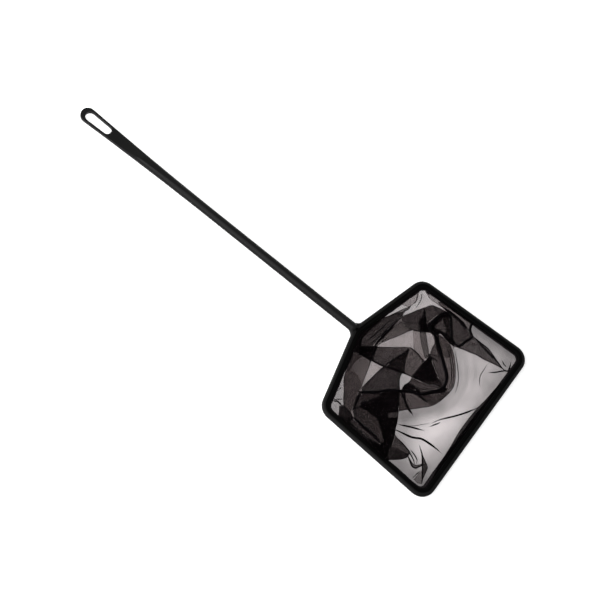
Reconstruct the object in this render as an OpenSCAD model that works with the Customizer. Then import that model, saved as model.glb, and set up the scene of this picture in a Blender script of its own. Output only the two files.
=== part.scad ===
// Aquarium fish net: a moulded handle and hoop in one piece, a retaining ring pressed
// into the hoop's ledge, and a soft mesh bag whose hem is clamped between the two.
// It lies flat, with the bag crumpled inside the hoop. +X runs from the handle's slotted
// end to the hoop's far end, +Z is up, and the origin is under the middle of the length.

/* [Hoop] */
// Length of the hoop along the handle, from where the shoulders meet to the far end
hoop_len = 119.4; // [95:1:150]
// Width of the hoop across its far corners
hoop_far_w = 149.6; // [120:1:190]
// Width of the hoop across its shoulders
hoop_near_w = 138.6; // [110:1:175]
// How far the shoulders slope back from where they meet
shoulder_len = 17; // [12:1:26]
// Outer radius of the hoop's corners
corner_r = 11.5; // [10:0.5:15]
// Height of the hoop
hoop_h = 3.4; // [3.2:0.1:4.6]
// Width of the hoop's rim, seen from above
rim_w = 5.9; // [5.2:0.1:7]

/* [Clamp] */
// Thickness of the wall round the outside of the rim
wall_w = 2.5; // [2.4:0.1:2.8]
// Width of the curve along the wall's outer top edge
edge_w = 2.1; // [1:0.1:2.1]
// Height of that curve
edge_h = 1.5; // [0.8:0.1:1.8]
// Radius along the wall's outer bottom edge
foot_round = 1.2; // [0.6:0.1:1.4]
// Thickness of the ledge inside the wall
ledge_h = 1.2; // [1:0.1:1.4]
// Clearance between the ring and the wall, and round each peg
press_gap = 0.1; // [0.05:0.01:0.2]
// How far the ring's top lies below the wall's top
ring_recess = 0.15; // [0:0.05:0.4]
// Radius along the ring's inner edge
ring_round = 0.7; // [0.3:0.1:0.9]
// Diameter of the ring's pegs
peg_d = 1.6; // [1.4:0.1:2]
// Diameter of each peg's spread head under the ledge
peg_head_d = 2.3; // [2.1:0.1:2.6]
// Thickness of each peg's head
peg_head_h = 0.4; // [0.3:0.05:0.5]
// Largest distance from one peg to the next
peg_pitch = 36; // [24:1:50]
// Radius of the ring's locating key, where the handle meets the hoop
key_r = 1.5; // [1.2:0.1:1.8]

/* [Handle] */
// Length of the handle, from its slotted end to where the shoulders meet
handle_len = 262; // [200:1:320]
// Diameter of the round shaft
shaft_d = 7.1; // [6:0.1:9]
// Width of the flat paddle at its round end
paddle_w = 12.1; // [11:0.1:15]
// Thickness of the paddle
paddle_t = 3; // [2.4:0.1:4]
// Length over which the paddle narrows from there to the shaft
taper_len = 122; // [90:1:150]
// Length over which the paddle's flat faces rise to the round shaft
rise_len = 30; // [20:1:45]
// Radius of the fillets between the shaft and the shoulders
fillet_r = 6; // [4:0.5:9]

/* [Hanging slot] */
// Length of the slot
slot_len = 23.3; // [18:0.1:27]
// Width of the slot at the handle's tip
slot_w = 8.4; // [6.5:0.1:9]
// Width of the slot at its end nearest the shaft
slot_far_w = 7.4; // [6.2:0.1:8]
// Wall between the slot and the tip of the handle
tip_wall = 4.3; // [2.5:0.1:6]
// Corner radius at the slot's end nearest the shaft
slot_corner_r = 3; // [2:0.1:3.4]

/* [Bag] */
// Thickness of the hem tape
hem_t = 0.4; // [0.3:0.05:0.6]
// How far the hem shows inside the ring
hem_show = 1.4; // [1:0.1:2.5]
// Gap between the crumpled bag and the hoop's ledge
bag_gap = 0.3; // [0.2:0.05:0.6]
// Height of the crumpled bag's underside above what the net lies on
bag_lift = 0.3; // [0.2:0.05:0.6]
// Width of the sewn seam along the bag
seam_w = 1.8; // [1.2:0.1:2.6]
// Thickness of the sewn seam
seam_t = 0.7; // [0.4:0.05:0.8]

/* [Hidden] */
$fn = 96;
cut = 1;
// How deep the fillets at the handle run into what they blend
blend_lap = 0.05;

// Heights, from the surface that the net lies on
axis_z = shaft_d / 2;
hoop_z = axis_z - hoop_h / 2;
hoop_top = hoop_z + hoop_h;
ledge_top = hoop_z + ledge_h;
ring_z = ledge_top + hem_t;
ring_top = hoop_top - ring_recess;

// Outline of the hoop, counter-clockwise from where the shoulders meet
apex_x = (handle_len - hoop_len) / 2;
near_x = apex_x + shoulder_len;
far_x = apex_x + hoop_len;
tip_x = apex_x - handle_len;
outline = [
    [apex_x, 0],
    [near_x, -hoop_near_w / 2],
    [far_x, -hoop_far_w / 2],
    [far_x, hoop_far_w / 2],
    [near_x, hoop_near_w / 2]
];
sides = len(outline);
last = sides - 1;

function corner(i) = outline[(i + sides) % sides];
function unit(angle) = [cos(angle), sin(angle)];
function heading(i) = let (d = corner(i + 1) - corner(i)) atan2(d.y, d.x);
function turn(i) = (heading(i) - heading(i - 1) + 360) % 360;
function reach(i) = corner_r * tan(turn(i) / 2);
function inward(i) = unit(heading(i) + 90);
function run_start(i) = corner(i) + unit(heading(i)) * reach(i);
function run_end(i) = corner(i + 1) - unit(heading(i)) * reach(i + 1);
function run_len(i) = norm(run_end(i) - run_start(i));
function arc_centre(i) = run_start(i) + inward(i) * corner_r;

// Pegs stand along the middle of the ledge, evenly on each straight run
peg_inset = (wall_w + press_gap + rim_w) / 2;
function peg_count(i) = max(2, ceil(run_len(i) / peg_pitch));
function peg_spot(i, k) = run_start(i) + inward(i) * peg_inset
    + unit(heading(i)) * run_len(i) * (k + 0.5) / peg_count(i);

// The arc of the hoop's outline at the apex starts this far in from the shoulders' meeting point
apex_inset = corner_r * (1 / cos(turn(0) / 2) - 1);
wall_x = apex_x + apex_inset + wall_w;
key_x = wall_x + press_gap;

// Profiles of the rim, counter-clockwise: the x of each point runs inward from the outline
corner_step = 10;
round_steps = 5;
function corner_steps(i) = ceil(turn(i) / corner_step);
clamp_start = wall_w + press_gap;
function round_points(centre, r_x, r_y, from, to) = [
    for (k = [0:round_steps])
        let (u = unit(from + (to - from) * k / round_steps)) centre + [r_x * u.x, r_y * u.y]
];
outer_edge = concat(
    round_points([edge_w, hoop_top - edge_h], edge_w, edge_h, 90, 180),
    round_points([foot_round, hoop_z + foot_round], foot_round, foot_round, 180, 270)
);

// The fillets stay a little inside the wall's top and foot, so that no two flat faces share a plane
fillet_w = (edge_w + wall_w) / 2;
fillet_share = 1 - 2 * blend_lap / hoop_h;
fillet_profile = [
    for (p = concat([[fillet_w, hoop_z], [fillet_w, hoop_top]], outer_edge))
        [p.x, axis_z + (p.y - axis_z) * fillet_share]
];

frame_profile = concat(
    [[rim_w, hoop_z], [rim_w, ledge_top], [wall_w, ledge_top], [wall_w, hoop_top]],
    outer_edge
);
ring_profile = concat(
    [[clamp_start, ring_z], [rim_w, ring_z]],
    round_points([rim_w - ring_round, ring_top - ring_round], ring_round, ring_round, 0, 90),
    [[clamp_start, ring_top]]
);
hem_edge = rim_w + hem_show;
hem_profile = [[clamp_start, ledge_top], [hem_edge, ledge_top], [hem_edge, ring_z], [clamp_start, ring_z]];

// Shape of the handle, along its own axis from the tip
tip_r = paddle_w / 2;
slot_end = tip_wall + slot_len;
taper_start = tip_r;
rise_start = slot_end + slot_corner_r / 2;
handle_steps = 14;
function taper_r(t) = shaft_d / 2 + (tip_r - shaft_d / 2) * pow(1 - t, 2);
function rise_h(t) = paddle_t / 2 + (shaft_d - paddle_t) / 2 * pow(t, 2);

// Route of the seam over the crumpled bag, as shares of the hoop's length and half width
seam_route_shares = [
    [0.62, 0.78], [0.62, 0.7], [0.6, 0.58], [0.54, 0.59], [0.5, 0.66], [0.42, 0.77],
    [0.37, 0.53], [0.45, 0.51], [0.53, 0.4], [0.61, 0.29], [0.67, 0.16], [0.68, 0.07],
    [0.63, -0.03], [0.57, -0.14], [0.47, -0.19], [0.37, -0.37], [0.28, -0.5]
];
seam_end = len(seam_route_shares) - 1;
function seam_point(i) = [
    apex_x + seam_route_shares[i][0] * hoop_len,
    seam_route_shares[i][1] * hoop_far_w / 2
];
function seam_normal(i) = let (d = seam_point(i + 1) - seam_point(i)) [-d.y, d.x] / norm(d);
function seam_mitre(i) = let (
        before = seam_normal(max(i - 1, 0)),
        after = seam_normal(min(i, seam_end - 1)),
        sum = before + after
    ) sum / (sum * before);

// Sweeps a closed profile round the hoop: its x runs inward from the outline and its y is
// the height. A ring of the profile's points stands at every station.
module around_hoop(profile) {
    stations = [
        for (i = [0:last], k = [0:corner_steps(i)])
            [arc_centre(i), unit(heading(i - 1) - 90 + turn(i) * k / corner_steps(i))]
    ];
    rings = len(stations);
    size = len(profile);
    points = [
        for (s = stations, p = profile)
            let (spot = s[0] + s[1] * (corner_r - p.x)) [spot.x, spot.y, p.y]
    ];
    faces = [
        for (j = [0:rings - 1], k = [0:size - 1])
            let (here = j * size, next = (j + 1) % rings * size, up = (k + 1) % size)
            [here + k, next + k, next + up, here + up]
    ];
    polyhedron(points, faces, convexity = 4);
}

// Flat shape of the hoop's outline moved inward by an inset
module hoop_plan(inset) {
    polygon([for (i = [0:last], p = [run_start(i), run_end(i)]) p + inward(i) * inset]);
    for (i = [0:last]) translate(arc_centre(i)) circle(corner_r - inset);
}

// Puts a copy of its children at every peg
module at_pegs() {
    for (i = [0:last], k = [0:peg_count(i) - 1]) translate(peg_spot(i, k)) children();
}

// Half outline of the handle as a turned shape: round tip, paddle, taper, shaft and round nose
module handle_turned_profile() {
    nose_r = shaft_d / 2;
    nose = wall_x - tip_x - press_gap - nose_r;
    taper = [for (k = [1:handle_steps])
        let (t = k / handle_steps) [taper_start + t * taper_len, taper_r(t)]];
    polygon(concat(
        round_points([tip_r, 0], tip_r, tip_r, 180, 90), taper,
        round_points([nose, 0], nose_r, nose_r, 90, 0)
    ));
}

// Side view of the handle: the flat paddle rises in a curve to the full height of the shaft
module handle_side_profile() {
    end = wall_x - tip_x;
    upper = [for (k = [0:handle_steps])
        let (t = k / handle_steps) [rise_start + t * rise_len, rise_h(t)]];
    lower = [for (k = [handle_steps:-1:0]) [upper[k].x, -upper[k].y]];
    polygon(concat(
        [[-cut, paddle_t / 2]], upper, [[end, shaft_d / 2], [end, -shaft_d / 2]],
        lower, [[-cut, -paddle_t / 2]]
    ));
}

// The slot narrows towards the shaft: its sides touch the round end and both corners
module hanging_slot() {
    tip_end = tip_wall + slot_w / 2;
    run = slot_end - slot_corner_r - tip_end;
    side = slot_far_w / 2 - slot_corner_r;
    lean = asin((slot_w / 2 - slot_corner_r) / norm([run, side])) - atan2(side, run);
    touch = [sin(lean), cos(lean)];
    near = touch * slot_w / 2;
    far = [run, side] + touch * slot_corner_r;
    translate([tip_end, 0]) linear_extrude(shaft_d + 2 * cut, center = true) {
        circle(slot_w / 2);
        polygon([near, [near.x, -near.y], [far.x, -far.y], far]);
        for (y = [-side, side]) translate([run, y]) circle(slot_corner_r);
        translate([run, -side]) square([slot_corner_r, 2 * side]);
    }
}

module handle() {
    translate([tip_x, 0, axis_z]) difference() {
        intersection() {
            rotate([90, 0, 90]) rotate_extrude() rotate(90) mirror([0, 1])
                handle_turned_profile();
            rotate([90, 0, 0]) linear_extrude(paddle_w + 2 * cut, center = true)
                handle_side_profile();
        }
        hanging_slot();
    }
}

// Fillets that carry the wall's profile from the shaft's sides into the shoulders
module junction_fillets() {
    shoulder = heading(0);
    outward = unit(shoulder - 90);
    off = fillet_r - blend_lap;
    along = (-(shaft_d / 2 + off) - off * outward.y) / sin(shoulder);
    centre = corner(0) + unit(shoulder) * along + outward * off;
    for (side = [0, 1]) mirror([0, side, 0])
        translate(centre) rotate([0, 0, shoulder + 90])
            rotate_extrude(angle = -shoulder) translate([fillet_r, 0]) polygon(fillet_profile);
}

module frame() {
    color([0.09, 0.09, 0.09]) difference() {
        union() {
            around_hoop(frame_profile);
            handle();
            junction_fillets();
        }
        at_pegs() {
            translate([0, 0, hoop_z - cut]) cylinder(d = peg_d + 2 * press_gap, h = ledge_h + 2 * cut);
        }
        at_pegs() {
            translate([0, 0, hoop_z - cut])
                cylinder(d = peg_head_d + 2 * press_gap, h = cut + peg_head_h + 2 * press_gap);
        }
        translate([key_x, 0, ledge_top]) cylinder(r = key_r + press_gap, h = shaft_d);
    }
}

module retaining_ring() {
    color([0.03, 0.03, 0.03]) {
        around_hoop(ring_profile);
        translate([key_x, 0, ring_z]) cylinder(r = key_r, h = ring_top - ring_z);
        at_pegs() translate([0, 0, hoop_z + peg_head_h / 2]) cylinder(d = peg_d, h = ring_z - hoop_z);
        at_pegs() translate([0, 0, hoop_z + press_gap]) cylinder(d = peg_head_d, h = peg_head_h);
    }
}

module net_hem() {
    color([0.16, 0.15, 0.16]) difference() {
        around_hoop(hem_profile);
        at_pegs() translate([0, 0, hoop_z]) cylinder(d = peg_d + 2 * press_gap, h = hoop_h);
    }
}

module net_bag() {
    color([0.42, 0.4, 0.41]) translate([0, 0, bag_lift])
        linear_extrude(ledge_top - bag_lift) hoop_plan(rim_w + bag_gap);
}

module net_seam() {
    left = [for (i = [0:seam_end]) seam_point(i) + seam_mitre(i) * seam_w / 2];
    right = [for (i = [seam_end:-1:0]) seam_point(i) - seam_mitre(i) * seam_w / 2];
    color([0.06, 0.05, 0.06]) translate([0, 0, ledge_top])
        linear_extrude(seam_t) polygon(concat(left, right));
}

frame();
retaining_ring();
net_hem();
net_bag();
net_seam();
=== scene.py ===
"""Aquarium fish net: a moulded handle and hoop, its retaining ring and a crumpled mesh bag.

The bag is one soft sheet over the mouth of the hoop with its folds lying on it. Each fold
is traced as an outline in the photograph's pixels, and every point of it is put where the
camera's line of sight meets the height at which that fold lies.
"""

import math

import bpy
import numpy as np
from mathutils import Matrix, Vector, geometry, noise


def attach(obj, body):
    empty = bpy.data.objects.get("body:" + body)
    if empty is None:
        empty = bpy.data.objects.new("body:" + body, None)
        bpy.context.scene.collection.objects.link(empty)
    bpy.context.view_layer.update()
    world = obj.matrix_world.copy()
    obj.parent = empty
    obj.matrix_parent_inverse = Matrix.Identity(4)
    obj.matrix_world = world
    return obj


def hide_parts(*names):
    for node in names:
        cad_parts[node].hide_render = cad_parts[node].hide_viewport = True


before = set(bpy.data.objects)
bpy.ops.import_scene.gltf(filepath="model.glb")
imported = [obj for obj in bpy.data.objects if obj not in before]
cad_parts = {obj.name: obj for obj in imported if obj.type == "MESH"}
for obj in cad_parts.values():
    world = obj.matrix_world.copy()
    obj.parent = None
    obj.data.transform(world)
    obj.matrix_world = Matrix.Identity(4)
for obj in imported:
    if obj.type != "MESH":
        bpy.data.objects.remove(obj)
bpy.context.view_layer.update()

MM = 0.001
UP = Vector((0, 0, 1))

# camera
PHOTO_SIZE = 600
SENSOR_MM = 36
LENS_MM = 91.4
EYE = Vector((68.6, -496.45, 1028.27)) * MM
SIGHT = Vector((-0.03662, 0.42868, -0.90271)).normalized()
HEAD_UP = Vector((-0.62434, 0.69551, 0.35561))
SIDE = SIGHT.cross(HEAD_UP).normalized()
HEAD = SIDE.cross(SIGHT)
FOCAL_PX = LENS_MM / SENSOR_MM * PHOTO_SIZE

bpy.ops.object.camera_add()
camera = bpy.context.object
camera.name = "photo_camera"
camera.matrix_world = Matrix.Translation(EYE) @ Matrix((SIDE, HEAD, -SIGHT)).transposed().to_4x4()
camera.data.lens = LENS_MM
camera.data.sensor_width = SENSOR_MM
camera.data.clip_start = 0.01
camera.data.clip_end = 20
bpy.context.scene.camera = camera


def from_pixel(px, py, height):
    """The point at a height above the floor that the photograph shows at a pixel."""
    half = PHOTO_SIZE / 2
    ray = SIGHT + SIDE * (px - half) / FOCAL_PX - HEAD * (py - half) / FOCAL_PX
    return EYE + ray * (height - EYE.z) / ray.z


def to_pixel(point):
    """The pixel at which the photograph shows a point."""
    step = point - EYE
    scale = FOCAL_PX / step.dot(SIGHT)
    half = PHOTO_SIZE / 2
    return half + step.dot(SIDE) * scale, half - step.dot(HEAD) * scale


# sizes, as in the part's source
HANDLE_LEN = 262 * MM
HOOP_LEN = 119.4 * MM
HOOP_FAR_W = 149.6 * MM
HOOP_NEAR_W = 138.6 * MM
SHOULDER_LEN = 17 * MM
CORNER_R = 11.5 * MM
RIM_W = 5.9 * MM
LEDGE_TOP = 3.05 * MM
RING_Z = 3.45 * MM
APEX_X = (HANDLE_LEN - HOOP_LEN) / 2
CORNER_STEPS = 9


def hoop_line(inset, step=None):
    """Points round the hoop, counter-clockwise, a distance inside its outer edge."""
    near_x = APEX_X + SHOULDER_LEN
    far_x = APEX_X + HOOP_LEN
    corners = [
        Vector((APEX_X, 0)),
        Vector((near_x, -HOOP_NEAR_W / 2)),
        Vector((far_x, -HOOP_FAR_W / 2)),
        Vector((far_x, HOOP_FAR_W / 2)),
        Vector((near_x, HOOP_NEAR_W / 2)),
    ]
    line = []
    for i, corner in enumerate(corners):
        before = (corner - corners[i - 1]).normalized()
        after = (corners[(i + 1) % len(corners)] - corner).normalized()
        turn = math.atan2(before.cross(after), before.dot(after))
        start = corner - before * CORNER_R * math.tan(turn / 2)
        centre = start + Vector((-before.y, before.x)) * CORNER_R
        for k in range(CORNER_STEPS):
            angle = math.atan2(-before.x, before.y) + turn * k / (CORNER_STEPS - 1)
            line.append(centre + Vector((math.cos(angle), math.sin(angle))) * (CORNER_R - inset))
    return line if step is None else spaced(line, step)


def spaced(line, step):
    """A closed line with its points no further apart than step."""
    out = []
    for i, here in enumerate(line):
        after = line[(i + 1) % len(line)]
        count = max(1, math.ceil((after - here).length / step))
        out.extend(here.lerp(after, k / count) for k in range(count))
    return out


# helpers
def deselect():
    for o in bpy.context.selected_objects:
        o.select_set(False)


def linear(hex_colour):
    """An sRGB hex colour as linear RGBA."""
    channels = [int(hex_colour[i : i + 2], 16) / 255 for i in (1, 3, 5)]
    return [c / 12.92 if c <= 0.04045 else ((c + 0.055) / 1.055) ** 2.4 for c in channels] + [1]


def node(tree, kind, settings=None, **inputs):
    """Adds a node: settings are its own, and an input is a value or the socket that feeds it."""
    made = tree.nodes.new("ShaderNode" + kind)
    for name, value in (settings or {}).items():
        setattr(made, name, value)
    for name, value in inputs.items():
        key = int(name[1:]) if name[0] == "i" and name[1:].isdigit() else name.replace("_", " ")
        socket = made.inputs[key]
        if isinstance(value, bpy.types.NodeSocket):
            tree.links.new(value, socket)
        else:
            socket.default_value = value
    return made


def material(name):
    """An empty node material: (material, tree, output)."""
    made = bpy.data.materials.new(name)
    made.use_nodes = True
    made.node_tree.nodes.clear()
    return made, made.node_tree, node(made.node_tree, "OutputMaterial")


def mesh_piece(name, points, faces, finish):
    """A new piece from points in metres and faces, riding on the root body."""
    mesh = bpy.data.meshes.new(name)
    mesh.from_pydata([tuple(p) for p in points], [], faces)
    mesh.update()
    piece = bpy.data.objects.new(name, mesh)
    bpy.context.scene.collection.objects.link(piece)
    mesh.materials.append(finish)
    mesh.shade_smooth()
    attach(piece, "root")
    return piece


# materials
MOULD_FLOW = 38 * MM
MOULD_SMOOTHER, MOULD_ROUGHER = 0.05, 0.06
MOULD_POLISHED = "#060606"
FADE_STARTS, FADE_ENDS = 0.5, 0.95


def moulded_plastic(name, colour, roughness, sheen, grain_mm, grain_depth_mm):
    """Black polypropylene from a spark-eroded mould: satin, with a fine even grain that
    shades itself towards the silhouette, so the gloss fades there."""
    made, tree, out = material(name)
    place = node(tree, "TexCoord").outputs["Object"]
    grain = node(tree, "TexNoise", Vector=place, Scale=1 / (grain_mm * MM), Detail=2.0)
    flow = node(tree, "TexNoise", Vector=place, Scale=1 / MOULD_FLOW, Detail=3.0)
    bump = node(
        tree, "Bump", Height=grain.outputs["Fac"], Strength=0.35, Distance=grain_depth_mm * MM,
    )
    gloss = node(
        tree, "MapRange", Value=flow.outputs["Fac"], From_Min=0.3, From_Max=0.7,
        To_Min=roughness - MOULD_SMOOTHER, To_Max=roughness + MOULD_ROUGHER,
    )
    tint = node(
        tree, "Mix", {"data_type": "RGBA"}, Factor=flow.outputs["Fac"],
        i6=linear(colour), i7=linear(MOULD_POLISHED),
    )
    facing = node(tree, "LayerWeight", Blend=0.5).outputs["Facing"]
    fade = node(
        tree, "MapRange", {"interpolation_type": "SMOOTHSTEP"}, Value=facing,
        From_Min=FADE_STARTS, From_Max=FADE_ENDS, To_Min=sheen, To_Max=0.0,
    )
    shader = node(
        tree, "BsdfPrincipled", Base_Color=tint.outputs[2], Roughness=gloss.outputs[0],
        IOR=1.49, Specular_IOR_Level=fade.outputs[0], Normal=bump.outputs[0],
    )
    tree.links.new(shader.outputs[0], out.inputs["Surface"])
    return made


frame_plastic = moulded_plastic("frame_moulded_polypropylene", "#040404", 0.38, 0.12, 0.32, 0.02)
ring_plastic = moulded_plastic("ring_moulded_polypropylene", "#020202", 0.35, 0.02, 0.28, 0.02)

# The netting's pitch and how far its rows wander, in mm
NET_PITCH = 0.85
NET_SWAY = 1.4
# Its thread, what a crease adds to that and the thread's soft edge, as shares of the pitch
NET_THREAD = 0.3
CREASE_WIDENS = 0.4
THREAD_EDGE = 0.05
# How much light a thread, a hole's stray fibres and the felting of a pile stop
THREAD_COVERS = 0.8
FIBRES_COVER = 0.15
PILE_FELTS = 0.15
# What the dye lets through in a pile and in the single sheet
PILE_TINT = 1, 0.982, 0.98, 1
SHEET_TINT = 1, 0.945, 0.95, 1


def net_mesh():
    """Soft knitted nylon netting, dyed black: see-through holes between dull, slightly
    mauve threads. The real holes are about 0.8 mm; they are drawn a little coarser, so
    that they still show in the picture. Stray fibres dim the holes, more so in the piled
    plies, and light comes through the threads except in a pressed crease. The dye
    tints the light most in the single sheet; what gets through a pile of plies is plainer."""
    made, tree, out = material("net_knitted_nylon")
    weave = node(tree, "UVMap", {"uv_map": "weave"}).outputs[0]
    sway = node(tree, "TexNoise", Vector=weave, Scale=0.11, Detail=2.0)
    bent = node(
        tree, "VectorMath", {"operation": "MULTIPLY_ADD"},
        i0=sway.outputs["Color"], i1=(NET_SWAY, NET_SWAY, 0), i2=weave,
    )
    cells = node(
        tree, "VectorMath", {"operation": "SCALE"}, i0=bent.outputs[0], Scale=1 / NET_PITCH,
    )
    axes = node(tree, "SeparateXYZ", i0=cells.outputs[0])
    across = node(tree, "Math", {"operation": "PINGPONG"}, i0=axes.outputs[0], i1=0.5)
    along = node(tree, "Math", {"operation": "PINGPONG"}, i0=axes.outputs[1], i1=0.5)
    nearest = node(
        tree, "Math", {"operation": "MINIMUM"}, i0=across.outputs[0], i1=along.outputs[0],
    )
    # gather is how close the mesh is drawn; on the single sheet it also carries painted shade and
    # painted light.
    gather = node(tree, "Attribute", {"attribute_name": "gather"}).outputs["Fac"]
    crease = node(tree, "Attribute", {"attribute_name": "crease"}).outputs["Fac"]
    width = node(tree, "Math", {"operation": "MULTIPLY"}, i0=gather, i1=NET_THREAD / 2)
    wide = node(
        tree, "Math", {"operation": "MULTIPLY_ADD"},
        i0=crease, i1=CREASE_WIDENS, i2=width.outputs[0],
    )
    gap = node(tree, "Math", {"operation": "SUBTRACT"}, i0=nearest.outputs[0], i1=wide.outputs[0])
    lone = node(tree, "Attribute", {"attribute_name": "single"}).outputs["Fac"]
    close = node(tree, "Math", {"operation": "MINIMUM"}, i0=gather, i1=1.0)
    matted = node(tree, "MapRange", Value=lone, From_Max=1.0, To_Min=PILE_FELTS, To_Max=0.0)
    felt = node(tree, "Math", {"operation": "MULTIPLY"}, i0=close.outputs[0], i1=matted.outputs[0])
    felted = node(tree, "Math", {"operation": "SUBTRACT"}, i0=THREAD_COVERS, i1=felt.outputs[0])
    dense = node(
        tree, "MapRange", Value=crease, From_Max=1.0, To_Min=felted.outputs[0], To_Max=1.0,
    )
    fuzz = node(tree, "Math", {"operation": "ADD"}, i0=felt.outputs[0], i1=FIBRES_COVER)
    thread = node(
        tree, "MapRange", Value=gap.outputs[0], From_Min=-THREAD_EDGE, From_Max=THREAD_EDGE,
        To_Min=dense.outputs[0], To_Max=fuzz.outputs[0],
    )
    dye = node(tree, "Mix", {"data_type": "RGBA"}, Factor=lone, i6=PILE_TINT, i7=SHEET_TINT)
    clear = node(tree, "BsdfTransparent", Color=dye.outputs[2])
    strand = node(
        tree, "BsdfPrincipled", Base_Color=linear("#060405"), Roughness=0.8,
        Specular_IOR_Level=0.02,
    )
    both = node(tree, "MixShader", i0=thread.outputs[0], i1=clear.outputs[0], i2=strand.outputs[0])
    tree.links.new(both.outputs[0], out.inputs["Surface"])
    return made


net_nylon = net_mesh()


HEM_RIB = 0.5 * MM
# A wave texture of scale 1 has its bands 0.314 m apart
WAVE_BANDS = 0.314


def woven_tape():
    """Black polyester binding tape: matt, with a close rib along it and a row of stitches
    coloured lighter than the tape, a painted highlight where they would catch a little more light."""
    made, tree, out = material("hem_woven_polyester")
    stitch_highlight = node(tree, "Attribute", {"attribute_name": "stitch_highlight"}).outputs["Fac"]
    # Painted highlight: the stitches are coloured #332f31, lighter than the tape's #080607.
    colour = node(
        tree, "Mix", {"data_type": "RGBA"}, Factor=stitch_highlight,
        i6=linear("#080607"), i7=linear("#332f31"),
    )
    place = node(tree, "TexCoord").outputs["Object"]
    rib = node(
        tree, "TexWave", Vector=place, Scale=WAVE_BANDS / HEM_RIB, Distortion=1.5, Detail=1.0,
    )
    bump = node(tree, "Bump", Height=rib.outputs["Fac"], Strength=0.5, Distance=0.05 * MM)
    shader = node(
        tree, "BsdfPrincipled", Base_Color=colour.outputs[2], Roughness=0.8,
        Normal=bump.outputs[0], Specular_IOR_Level=0.03,
    )
    tree.links.new(shader.outputs[0], out.inputs["Surface"])
    return made


hem_tape = woven_tape()


def sewing_thread():
    """Black spun polyester thread: matt and slightly hairy."""
    made, tree, out = material("seam_spun_thread")
    place = node(tree, "TexCoord").outputs["Object"]
    twist = node(tree, "TexNoise", Vector=place, Scale=1 / (0.4 * MM), Detail=2.0)
    bump = node(tree, "Bump", Height=twist.outputs["Fac"], Strength=0.6, Distance=0.08 * MM)
    shader = node(
        tree, "BsdfPrincipled", Base_Color=linear("#030203"), Roughness=0.85,
        Normal=bump.outputs[0], Specular_IOR_Level=0.02,
    )
    tree.links.new(shader.outputs[0], out.inputs["Surface"])
    return made


seam_thread = sewing_thread()

# the moulded parts
for name, finish in (("frame", frame_plastic), ("retaining_ring", ring_plastic)):
    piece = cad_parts[name]
    piece.data.materials.clear()
    piece.data.materials.append(finish)

# the bag, in the photograph's pixels
FOLDS, PLEATS, SHEET_BUNCHES_AND_SHADE = {}, {}, {}


def fold(name, plies, gather, edge, outline):
    """A fold that lies flat on those before it: its plies, how close its mesh is drawn, how
    sharply its edge is pressed, and its outline."""
    FOLDS[name] = (plies, gather, edge, outline)


def pleat(name, width, line):
    """A narrow pleat along a line, on top of the folds."""
    PLEATS[name] = (width, line)


def bunch_and_shade(name, extra, reach, line):
    """Painted shade and painted light on the single sheet: its mesh drawn closer to darken it,
    thinner to lighten it, with some real bunching. How much, how far that reaches, line.
    """
    SHEET_BUNCHES_AND_SHADE[name] = (extra, reach, line)


# Runs of points that several outlines share
ARCH_RIM = [
    (402.5, 315.8), (408.7, 313.5), (415.6, 310.5), (422.5, 308), (428, 306), (432, 305),
    (437, 306.8), (444.3, 310.2), (449.8, 313.6), (455, 318), (460.4, 322), (464.5, 327),
    (468.9, 332.4), (473, 336.6), (469, 339.8), (463, 344.5), (458.5, 348),
]
SHOULDER_RIM = [
    (366, 329), (376, 322), (384, 317.6), (390, 315.2), (396, 313.3), (403, 311.2), (409.8, 306.4),
    (405.5, 311.5),
]
LEFT_RIM = [
    (398.3, 416), (397.2, 423), (395.9, 428.3), (394.9, 434), (399.5, 440), (404, 445),
    (408.7, 450.8), (409.5, 454.5), (406.9, 457.7), (399.5, 459.7), (388, 460), (379, 452),
    (366, 441), (358, 434), (348, 424.5), (340, 416), (339, 406), (343.7, 404), (343.7, 390),
]

fold("under_all", 1, 0.12, 0.2, [
    *ARCH_RIM, (455, 347), (453, 349.5), (454.6, 356), (455.5, 364), (456, 372), (455.6, 380),
    (454, 386.5), (450.5, 392), (445.5, 397), (439, 402.3), (431.5, 406.4), (422.5, 407.9),
    (411, 409.5), (407.5, 409.8), (404.6, 398.5), (401.3, 390.6), (404.3, 385), (408.5, 382.5),
    (411.5, 377.6), (404.5, 373.5), (401.5, 373.3), (400, 379), (400, 388), (400.6, 391),
    (403.8, 398.7), (406.5, 410), (398.9, 411.2), *LEFT_RIM, (343.7, 377.5), (346, 370), (350, 360),
    (351, 350), (356, 337), *SHOULDER_RIM,
])
fold("under_upper", 1, 0.45, 0.3, [
    *ARCH_RIM, (453.5, 346.5), (449, 342), (444, 337), (440, 333.5), (433.5, 334.5), (430, 333),
    (426.5, 331.5), (419.3, 331.4), (413, 330.3), (404, 333.5), (396, 337), (388, 340),
    (380.5, 343.8), (377.5, 346.5), (376, 351), (373.5, 357.5), (371, 360), (364, 357), (357, 353),
    (350.5, 352), (351.5, 342), (356, 336.5), *SHOULDER_RIM,
])
fold("under_left", 1, 0.2, 0.3, [
    (343.7, 377.5), (346, 370), (350, 360), (350.5, 352), (357, 353), (364, 356.7), (371.3, 360.8),
    (369.5, 366.5), (367.2, 372), (364.3, 379.8), (361.6, 387.1), (366.5, 383), (372, 378),
    (378.5, 371.5), (384.2, 366.6), (391, 368.5), (398, 371), (402.8, 373), (400.3, 376.5),
    (399.8, 385), (400, 390), (398.9, 400), (398.5, 409), *LEFT_RIM,
])
fold("under_centre", 1, 0.4, 0.3, [
    (377, 346.8), (384, 346.8), (392, 347.2), (402, 346.8), (410.6, 347), (417.5, 353.5),
    (424.3, 361), (418, 369.5), (412, 377.3), (404, 373.3), (398, 371), (391, 368.5),
    (384.5, 366.3), (378, 363), (371.5, 360), (374, 355), (375.8, 350),
])
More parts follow.
